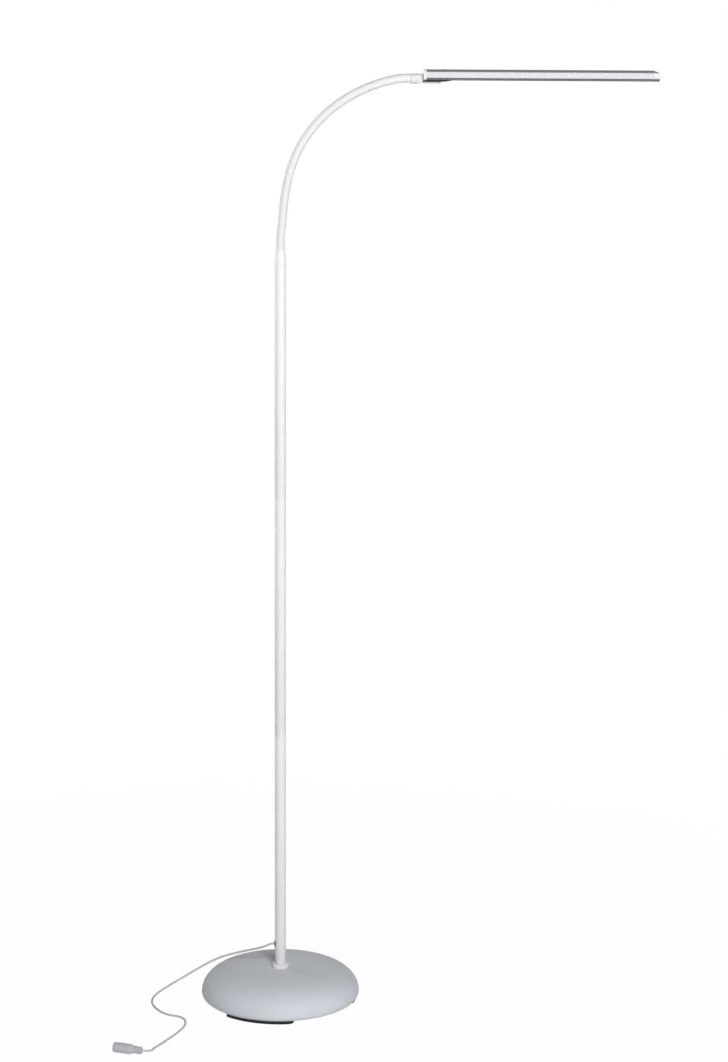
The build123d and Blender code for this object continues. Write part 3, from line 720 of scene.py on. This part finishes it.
def poleTube(name, ends, rings=(), hole=None, height=None, heading=None):
    piece = turnedPiece(name, tubeLine(*ends, rings, **poleWall), segments=72)
    if hole:
        place = (poleWall["radius"] * heading[0], poleWall["radius"] * heading[1], height)
        cutWith(piece, drillTool(hole, place, heading, poleDrill))
    return smoothEdges(piece)


for level, settings in tubeSettings.items():
    settle(poleTube(f"{level}Tube", **settings), "stand", "white_paint", whitePaint, f"{level}_tube")

ferruleSettings = {
    "radius": 0.008, "bottom": 1.070, "straight": 1.077, "top": 1.092, "mouth": 0.0067, "edge": 0.0003,
    "bore": 0.00605, "boreDepth": 0.014, "coreBore": 0.00405, "coreDepth": 0.030,
    "plugRadius": 0.0069, "plugBottom": 1.050, "plugBore": 0.003, "plugEdge": 0.0004,
    "bend": ((0, -0.001), (-0.00002, 0), (-0.00012, 0.001)),  # where the taper begins
    "lip": ((0.00004, -0.0004), (-0.0001, -0.0001), (-0.0003, 0)),
}


def ferruleLine(radius, bottom, straight, top, mouth, edge, bore, boreDepth, coreBore, coreDepth,
                plugRadius, plugBottom, plugBore, plugEdge, bend, lip):
    plug = [(plugBore, plugBottom), (plugRadius - plugEdge, plugBottom), (plugRadius, plugBottom + plugEdge),
            (plugRadius, bottom)]
    skirt = [(radius - edge, bottom), (radius, bottom + edge)]
    inside = [(bore, top), (bore, top - boreDepth), (coreBore, top - boreDepth), (coreBore, top - coreDepth),
              (plugBore, top - coreDepth)]
    return plug + skirt + around(radius, straight, bend) + around(mouth, top, lip) + inside


settle(turnedPiece("neckFerrule", ferruleLine(**ferruleSettings), segments=72),
       "stand", "white_paint", whitePaint, "neck_ferrule")

grommetSettings = {"lip": 0.0048, "face": 0.0089, "seat": 0.0064, "neck": 0.00365, "inside": 0.0059,
                   "hole": 0.00155, "edge": 0.0005, "mouth": 0.0006, "inset": 0.0002}


def grommetLine(lip, face, seat, neck, inside, hole, edge, mouth, inset):
    line = [(hole, inside), (neck, inside), (neck, seat), (lip - inset, seat)]
    return line + roundedCorner(lip, face, edge) + [(hole + mouth, face), (hole, face - edge)]


cordGrommet = turnedPiece("cordGrommet", grommetLine(**grommetSettings), segments=48)
turnTo(cordGrommet, lieAlong((0, 0, outletHeight), (-1, 0, 0)))
settle(cordGrommet, "stand", "grommet", grommetRubber, "cord_grommet")
print("pole made")

# gooseneck
neckSettings = {
    "foot": (0, 0, 1.092), "endLength": 0.024, "linkLength": 0.0354, "blendMargin": 0.0012,
    "headings": [0.0, 5.0, 6.0, 12.0, 23.0, 36.0, 47.0, 58.0, 68.0, 78.0, 90.0],  # where each link begins
}
neckHeadings = neckSettings["headings"]
lastJoint = len(neckHeadings) - 2
sleeveSettings = {"radius": 0.006, "wall": 0.0019, "segments": 48, "step": 0.0024,
                  "foot": 0.0135, "head": 0.0108}  # how far its ends go into the ferrule and the bracket
coreSettings = {"radius": 0.00395, "wall": 0.0020, "segments": 20, "step": 0.0012,
                "foot": 0.029, "head": 0.0175}


def arcStep(start, heading, nextHeading, length):
    a, b = math.radians(heading), math.radians(nextHeading)
    return start + Vector((math.cos(a) - math.cos(b), 0, math.sin(b) - math.sin(a))) * (length / (b - a))


def linkLength(index):
    return neckSettings["endLength"] if index in (0, lastJoint) else neckSettings["linkLength"]


def middleHeading(index):
    return (neckHeadings[index] + neckHeadings[index + 1]) / 2


def neckPlaces():
    # the joints with both ends of the neck, and the middles of the links
    pivots = [Vector(neckSettings["foot"])]
    middles = []
    for index in range(lastJoint + 1):
        heading, length = neckHeadings[index], linkLength(index)
        middles.append(arcStep(pivots[-1], heading, middleHeading(index), length / 2))
        pivots.append(arcStep(pivots[-1], heading, neckHeadings[index + 1], length))
    return pivots, middles


neckPivots, neckMiddles = neckPlaces()


def bendRing(start, heading, nextHeading, length, step):
    # carries the selected ring along an arc of the neck; spin turns left-handed about its axis
    a, b = math.radians(heading), math.radians(nextHeading)
    centre = start + Vector((math.cos(a), 0, -math.sin(a))) * (length / (b - a))
    count = max(2, round(length / step))
    bpy.ops.mesh.spin(steps=count, angle=a - b, center=centre, axis=(0, 1, 0))


def runStraight(heading, length, step):
    count = max(2, round(length / step))
    for _ in range(count):
        extrudeBy(tuple(share * length / count for share in heading))


def neckPiece(name, index, radius, wall, step, foot, head, segments):
    # from the middle of the link below joint index to the middle of the link above it
    place, heading = neckMiddles[index - 1], middleHeading(index - 1)
    if index == 1:
        place, heading = neckPivots[0] - Vector((0, 0, foot)), 0.0
    clearSelection()
    bpy.ops.mesh.primitive_circle_add(vertices=segments, radius=radius, location=place,
                                      rotation=(0, math.radians(heading), 0))
    piece = beginEdit(name)
    if index == 1:
        runStraight((0, 0, 1), foot, step)
        bendRing(neckPivots[0], neckHeadings[0], neckHeadings[1], linkLength(0), step)
    else:
        bendRing(place, heading, neckHeadings[index], linkLength(index - 1) / 2, step)
    pivot, heading, length = neckPivots[index], neckHeadings[index], linkLength(index)
    if index == lastJoint:
        bendRing(pivot, heading, neckHeadings[index + 1], length, step)
        runStraight((1, 0, 0), head, step)
    else:
        bendRing(pivot, heading, middleHeading(index), length / 2, step)
    mergePoints()
    closeForm(piece)
    applyModifier(piece, "SOLIDIFY", thickness=wall, offset=-1)
    return smoothEdges(piece, 40)


def blendNeck(piece):
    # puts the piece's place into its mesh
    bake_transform(piece)


for index in range(1, lastJoint + 1):
    for title, node, slotName, finish, settings in (
        ("neckSleeve", "neck_sleeve", "neck_sleeve", neckSleeve, sleeveSettings),
        ("neckSpiral", "neck_core", "neck_spiral", spiralSteel, coreSettings),
    ):
        layer = neckPiece(f"{title}{index}", index, **settings)
        numbers = (1, 0) if index == 1 else (index,)
        settle(layer, None, slotName, finish, *[f"{node}_{number:02d}" for number in numbers])
        blendNeck(layer)
print("gooseneck made")

# head: bracket, and a packing strip whose dark colour is painted shade
bracketSettings = {
    "start": 0.1786, "face": 0.1966, "axis": 1.32689, "radius": 0.0068, "edge": 0.0006, "neckAxis": 1.32749,
    "bores": ((0.00605, 0.011, 0.002), (0.00405, 0.024, 0.006)),  # radius, depth, drill outside the mouth
    "tongueRoot": 0.1876, "tongueTip": 0.2206, "tongueWidth": 0.013, "tongueBottom": 1.32019,
    "tongueTop": 1.32269, "tongueEdge": 0.0005,
    "screws": (0.208, 0.217), "screwDrills": ((0.0029, 0.0022), (0.00155, 0.02)),  # radius and length
}


def tonguePiece(settings):
    # flat strip with a half-round nose
    half = settings["tongueWidth"] / 2
    root, nose, bottom = settings["tongueRoot"], settings["tongueTip"] - half, settings["tongueBottom"]
    outline = [(root, -half)] + arcPoints((nose, 0), half, -math.pi / 2, math.pi / 2, 16) + [(root, half)]
    piece = slabPiece("tongue", [(x, y, bottom) for x, y in outline], (0, 0, settings["tongueTop"] - bottom))
    return softenEdges(piece, settings["tongueEdge"])


def bracketPiece(settings):
    start, radius = settings["start"], settings["radius"]
    length = settings["face"] - start
    line = [(0, 0)] + roundedCorner(radius, 0, settings["edge"], -90) + [(radius, length), (0, length)]
    socket = turnedPiece("headBracket", line, segments=72, closed=False)
    turnTo(socket, lieAlong((start, 0, settings["axis"]), (1, 0, 0)))
    cutWith(socket, tonguePiece(settings), "UNION")
    for bore, depth, outside in settings["bores"]:
        middle = (start + (depth - outside) / 2, 0, settings["neckAxis"])
        cutWith(socket, drillTool(bore, middle, (1, 0, 0), depth + outside))
    for place in settings["screws"]:
        for hole, drill in settings["screwDrills"]:
            cutWith(socket, drillTool(hole, (place, 0, settings["tongueBottom"]), (0, 0, 1), drill))
    return smoothEdges(socket, 30)


settle(bracketPiece(bracketSettings), "head", "white_plastic", whitePlastic, "head_bracket")

shadowShimSettings = {"start": 0.1966, "end": 0.2356, "width": 0.024, "bottom": 1.32269, "top": 1.32449,
                "taper": 0.010, "nose": 0.0001, "edge": 0.0004}


def shadowShimPiece(start, end, width, bottom, top, taper, nose, edge):
    # a packing strip whose underside rises to a thin end; its dark colour is painted shade for the gap
    # between the tongue and the bar
    outline = [(start, top), (start, bottom), (end - taper, bottom), (end, top - nose), (end, top)]
    piece = slabPiece("shadowShim", [(x, -width / 2, z) for x, z in outline], (0, width, 0))
    return softenEdges(piece, edge, 3)


settle(shadowShimPiece(**shadowShimSettings), "head", "dark_plastic", darkPlastic, "bracket_shim")

screwSettings = {"head": 0.0028, "headEdge": 0.0002, "sunk": 0.0001, "headDepth": 0.0016, "shank": 0.00145,
                 "tip": 0.0003, "top": 1.3284, "socket": 0.0010, "socketDepth": 0.0012}


def bracketScrew(name, place, settings):
    head, shank, top, tip = settings["head"], settings["shank"], settings["top"], settings["tip"]
    bottom, edge = bracketSettings["tongueBottom"], settings["headEdge"]
    face = bottom + settings["sunk"]
    line = [(0, face), (head - edge, face), (head, face + edge), (shank, bottom + settings["headDepth"]),
            (shank, top - tip), (shank - tip, top), (0, top)]
    piece = turnedPiece(name, line, segments=32, closed=False)
    depth = 2 * settings["socketDepth"]
    cutWith(piece, drillTool(settings["socket"], (0, 0, bottom), (0, 0, 1), depth, sides=6))
    turnTo(piece, Matrix.Translation((place, 0, 0)))
    return smoothEdges(piece, 30)


for index, place in enumerate(bracketSettings["screws"]):
    screw = bracketScrew(f"bracketScrew{index + 1}", place, screwSettings)
    settle(screw, "head", "plain_steel", plainSteel, "bracket_screws")
print("bracket made")

# head: light bar
barSettings = {
    "start": 0.2010, "end": 0.5110, "half": 0.015, "bottom": 1.32449, "top": 1.33949, "rounding": 0.005,
    "wall": 0.0014, "slotHalf": 0.010, "buttonPlace": 0.2250, "buttonHole": 0.0045, "buttonDrill": 0.006,
    "capStart": 0.1966, "tip": 0.5200, "bevel": 0.0034, "capEdge": 0.0005,
}
buttonTurn = Matrix.Translation((barSettings["buttonPlace"], 0, 0))


def boxCorners(half, bottom, top):
    return [(half, bottom), (half, top), (-half, top), (-half, bottom)]


def barPiece(settings):
    # a hollow section with a slot along its underside
    half, wall, slot = settings["half"], settings["wall"], settings["slotHalf"]
    bottom, top, rounding = settings["bottom"], settings["top"], settings["rounding"]
    outer = boxCorners(half, bottom, top)
    inner = boxCorners(half - wall, bottom + wall, top - wall)
    outline = [(slot, bottom)] + outer + [(-slot, bottom), (-slot, bottom + wall)]
    outline += inner[::-1] + [(slot, bottom + wall)]
    piece = sectionPiece("lightBar", outline, settings["start"], settings["end"],
                         rounds=[(outer, rounding), (inner[1:3], rounding - wall)], segments=10)
    place = (settings["buttonPlace"], 0, top)
    cutWith(piece, drillTool(settings["buttonHole"], place, (0, 0, 1), settings["buttonDrill"]))
    return smoothEdges(piece, 30)


def capBlock(name, x0, x1):
    corners = boxCorners(barSettings["half"], barSettings["bottom"], barSettings["top"])
    return sectionPiece(name, corners, x0, x1, rounds=[(corners, barSettings["rounding"])], segments=10)


def bevelTip(piece, settings):
    # the top falls away towards the tip: everything above a slanting plane is cut off
    pick(piece)
    enter("EDIT")
    selectMesh()
    normal = Vector((settings["bevel"], 0, settings["tip"] - settings["end"])).normalized()
    bpy.ops.mesh.bisect(plane_co=(settings["end"], 0, settings["top"]), plane_no=normal,
                        use_fill=True, clear_outer=True, clear_inner=False)
    enter("OBJECT")


settle(barPiece(barSettings), "head", "anodised", anodised, "head_profile")

innerCap = capBlock("innerCap", barSettings["capStart"], barSettings["start"])
softenEdges(innerCap, barSettings["capEdge"], 3)
settle(innerCap, "head", "white_plastic", whitePlastic, "inner_end_cap")

outerCap = capBlock("outerCap", barSettings["end"], barSettings["tip"])
bevelTip(outerCap, barSettings)
softenEdges(outerCap, barSettings["capEdge"], 3)
settle(outerCap, "head", "silver_plastic", silverPlastic, "outer_end_cap")

diffuserSettings = {"half": 0.00995, "bottom": 1.32449, "top": 1.32589, "flangeHalf": 0.012,
                    "flangeTop": 1.32689, "sink": 0.0003, "crown": 0.7}
diffuserEnds = (0.23565, 0.5059)


def diffuserOutline(half, bottom, top, flangeHalf, flangeTop, sink, crown):
    # its lower face has a slight crown, sunk into the slot at the edges
    edge = bottom + sink
    right = [(half / 2, edge - sink * crown), (half, edge), (half, top), (flangeHalf, top),
             (flangeHalf, flangeTop)]
    left = [(-y, z) for y, z in right[::-1]]
    return left[3:] + [(0, bottom)] + right + left[:3]


settle(sectionPiece("diffuserStrip", diffuserOutline(**diffuserSettings), *diffuserEnds),
       "head", "diffuser", diffuserPlastic, "diffuser")

buttonSettings = {
    "radius": 0.0043, "top": 1.33999, "bottom": 1.33709, "flange": 0.0053, "flangeTop": 1.33809,
    "stem": 0.0015, "stemBottom": 1.33679, "edge": 0.0004,
    "dish": ((0.0034, 0), (0.0030, -0.0001), (0.0018, -0.00024), (0, -0.0003)),  # the hollow for the finger
}


def buttonLine(radius, top, bottom, flange, flangeTop, stem, stemBottom, edge, dish):
    line = [(0, stemBottom), (stem, stemBottom), (stem, bottom), (flange, bottom), (flange, flangeTop),
            (radius, flangeTop)]
    return line + roundedCorner(radius, top, edge) + around(0, top, dish)


pushButton = turnedPiece("pushButton", buttonLine(**buttonSettings), segments=64, closed=False)
turnTo(pushButton, buttonTurn)
settle(pushButton, "button", "button", buttonPlastic, "push_button")

# return spring: a wound wire under the button, above the switch
springSettings = {"wire": 0.0004, "radius": 0.0025, "bottom": 1.33549, "top": 1.33709, "turns": 1.5,
                  "steps": 60, "pressed": 0.6}


def springPiece(settings):
    wireHalf, steps = settings["wire"] / 2, settings["steps"]
    low = settings["bottom"] + wireHalf
    rise = settings["top"] - wireHalf - low
    clearSelection()
    bpy.ops.mesh.primitive_circle_add(vertices=12, radius=wireHalf, fill_type="NGON",
                                      location=(settings["radius"], 0, low), rotation=(math.pi / 2, 0, 0))
    piece = beginEdit("buttonSpring")
    for _ in range(steps):
        extrudeBy((0, 0, rise / steps))
        bpy.ops.transform.rotate(value=math.tau * settings["turns"] / steps, orient_axis="Z",
                                 orient_type="GLOBAL", center_override=(0, 0, 0))
    closeForm(piece)
    turnTo(piece, buttonTurn)
    return smoothEdges(piece, 40)


buttonSpring = springPiece(springSettings)
settle(buttonSpring, "head", "plain_steel", plainSteel, "button_spring")
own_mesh(buttonSpring)
print("head made")

# connector on the cord's end; heights are counted along it from the cord
cordBefore, cordEnd = (Vector(place) / 1000 for place in cordSettings["route"][-2:])
connectorTurn = lieAlong(cordEnd, cordEnd - cordBefore)


def connectorPiece(name, line, slotName, material, node, **options):
    piece = turnTo(turnedPiece(name, line, **options), connectorTurn)
    return settle(piece, "stand", slotName, material, node)


reliefSettings = {
    "radius": 0.0053, "length": 0.011, "hole": 0.00145, "ribs": 4, "slimmer": 0.0002, "mouth": 0.0007,
    "edge": 0.0003, "plug": 0.0036, "plugLength": 0.005,
    "rise": ((-0.0003, 0.0002), (0, 0.0006)),  # from a rib's start
    "fall": ((0, -0.0012), (-0.0003, -0.0008)),  # before the next one
    "groove": ((-0.0009, -0.0006), (-0.0009, -0.0001)),
}


def ribbedLine(radius, length, hole, ribs, slimmer, mouth, edge, plug, plugLength, rise, fall, groove):
    # ribs with rounded crowns, the first a little slimmer
    line = [(hole, 0), (radius - mouth, 0)]
    pitch = length / ribs
    for index in range(ribs):
        top = radius - (slimmer if index == 0 else 0)
        start = index * pitch
        line += around(top, start, rise) + around(top, start + pitch, fall)
        if index < ribs - 1:
            line += around(top, start + pitch, groove)
    end = length + plugLength
    return line + [(radius - edge, length), (plug, length), (plug, end), (hole, end)]


strainRelief = connectorPiece(
    "strainRelief", ribbedLine(**reliefSettings), "connector", connectorPlastic, "strain_relief",
    segments=48, angle=40)

shellSettings = {
    "start": 0.011, "end": 0.041, "neck": 0.0053, "radius": 0.0071, "shoulder": 0.006, "taper": 0.006,
    "mouth": 0.0068, "bore": 0.005, "floor": 0.026, "edge": 0.0003, "plugBore": 0.00365, "plugDepth": 0.00505,
    "lip": ((0.00005, -0.0006), (-0.00015, -0.00015), (-0.0005, 0)),
}


def shellLine(start, end, neck, radius, shoulder, taper, mouth, bore, floor, edge, plugBore, plugDepth, lip):
    line = [(plugBore, start), (neck - edge, start), (neck, start + edge)]
    for index in range(1, 9):
        share = index / 8
        ease = share * share * (3 - 2 * share)
        line.append((neck + (radius - neck) * ease, start + edge + (shoulder - edge) * share))
    line += [(radius, end - taper)] + around(mouth, end, lip)
    return line + [(bore + edge, end), (bore, end - edge), (bore, floor), (0, floor),
                   (0, start + plugDepth), (plugBore, start + plugDepth)]


connectorShell = connectorPiece(
    "connectorShell", shellLine(**shellSettings), "connector", connectorPlastic, "connector_shell",
    segments=64, angle=40)

insertSettings = {
    "face": 0.0404, "barrel": 0.00315, "barrelEnd": 0.0309, "bore": 0.00285, "rim": 0.00305, "pin": 0.001,
    "pinTop": 0.0399, "outer": 0.00495, "edge": 0.0003, "floor": 0.026,
    "pinTip": ((0, -0.0006), (-0.0002, -0.0002), (-0.0006, 0)),
}


def insertLines(face, barrel, barrelEnd, bore, rim, pin, pinTop, outer, edge, floor, pinTip):
    # the carrier, the barrel's lining and the pin
    carrier = [(pin, floor), (outer, floor), (outer, face - edge), (outer - edge, face),
               (barrel + edge, face), (barrel, face - edge), (barrel, barrelEnd), (pin, barrelEnd)]
    lining = [(bore, barrelEnd), (barrel, barrelEnd), (barrel, face - edge), (rim, face - edge),
              (bore, face - 2 * edge)]
    return carrier, lining, [(0, floor), (pin, floor)] + around(pin, pinTop, pinTip) + [(0, pinTop)]


carrierLine, liningLine, pinLine = insertLines(**insertSettings)
connectorInsert = connectorPiece(
    "connectorInsert", carrierLine, "dark_plastic", darkPlastic, "connector_insert", segments=48)
barrelContact = connectorPiece(
    "barrelContact", liningLine, "contacts", contactMetal, "connector_contacts", segments=40)
pinContact = connectorPiece(
    "pinContact", pinLine, "contacts", contactMetal, "connector_contacts", segments=32, closed=False)
print("connector made")

# floor, world and lamps
studioSettings = {
    "floorSize": 40.0, "floorTone": (0.86, 0.86, 0.86), "mottleTone": (0.85, 0.85, 0.85),
    "shadowShare": 0.975, "shadowReach": (0.4, 1.6),
    "ambient": 0.15, "ceiling": 0.4, "ceilingReach": (0.2, 0.8),
}
lampSettings = {
    "keyLamp": {"place": (0.6, -2.2, 1.75), "aim": (0.05, 0, 1.1), "size": 1.0, "power": 55.0},
    "fillLamp": {"place": (0.3, -2.8, 0.6), "aim": (0, 0, 0.1), "size": 1.0, "power": 3.0},
    "backLamp": {"place": (-1.5, 1.0, 1.35), "aim": (0.15, 0, 1.3), "size": 0.6, "power": 7.0, "spread": 75},
}


def whiteRays(tree):
    # mirror and glass rays see the pale surroundings as the camera does
    rays = tree.nodes.new("ShaderNodeLightPath").outputs
    mirrorRay = mathNode(tree, "MAXIMUM", rays["Is Glossy Ray"], rays["Is Transmission Ray"])
    return rays["Is Camera Ray"], mirrorRay


def makeFloor(settings):
    # white to the eye; its paint takes the object's shadow, and further out it fades into the background
    clearSelection()
    bpy.ops.mesh.primitive_plane_add(size=settings["floorSize"], location=(0, 0, 0))
    floor = bpy.context.active_object
    floor.name = "floor"
    material, tree, shader = newMaterial("floorPaper", {"Roughness": 0.9, "Specular IOR Level": 0.1})
    place = coordinates(tree)
    tone = mixTones(tree, noiseNode(tree, place, 3.0), settings["floorTone"], settings["mottleTone"])
    feed(tree, shader["Base Color"], tone)
    distance = tree.nodes.new("ShaderNodeVectorMath")
    distance.operation = "LENGTH"
    feed(tree, distance.inputs[0], place)
    whiteness = rangeNode(tree, distance.outputs["Value"], settings["shadowReach"],
                          (settings["shadowShare"], 1.0), smooth=True)
    seen = mathNode(tree, "MAXIMUM", *whiteRays(tree))
    paint = tree.nodes["Principled BSDF"].outputs[0]
    glow = tree.nodes.new("ShaderNodeEmission").outputs[0]
    mix = tree.nodes.new("ShaderNodeMixShader")
    for socket, value in zip(mix.inputs, (times(tree, seen, whiteness), paint, glow)):
        feed(tree, socket, value)
    feed(tree, tree.nodes["Material Output"].inputs["Surface"], mix.outputs[0])
    floor.data.materials.append(material)


def makeWorld(settings):
    # white round the horizon, with a darker ceiling that only the lighting and reflections see
    world = bpy.data.worlds.new("studio")
    bpy.context.scene.world = world
    world.use_nodes = True
    tree = world.node_tree
    background = tree.nodes["Background"].inputs
    upward = splitAxes(tree, coordinates(tree, "Generated"))["Z"]
    roof = rangeNode(tree, upward, settings["ceilingReach"], (1.0, settings["ceiling"]), smooth=True)
    cameraRay, mirrorRay = whiteRays(tree)
    level = mathNode(tree, "MAXIMUM", mirrorRay, settings["ambient"])
    feed(tree, background["Strength"], mathNode(tree, "MAXIMUM", times(tree, roof, level), cameraRay))
    feed(tree, background["Color"], (1, 1, 1))


def addLamp(name, place, aim, size, power, spread=180):
    data = bpy.data.lights.new(name, "AREA")
    data.shape = "RECTANGLE"
    data.size = size
    data.size_y = size
    data.energy = power
    data.spread = math.radians(spread)
    lamp = addObject(name, data)
    lamp.location = place
    lamp.rotation_euler = (Vector(aim) - Vector(place)).to_track_quat("-Z", "Y").to_euler()
    lamp.visible_glossy = False  # the cloth round the lamps hides them from mirror rays


makeFloor(studioSettings)
makeWorld(studioSettings)
for name, settings in lampSettings.items():
    addLamp(name, **settings)
print("studio lit")

clearSelection()
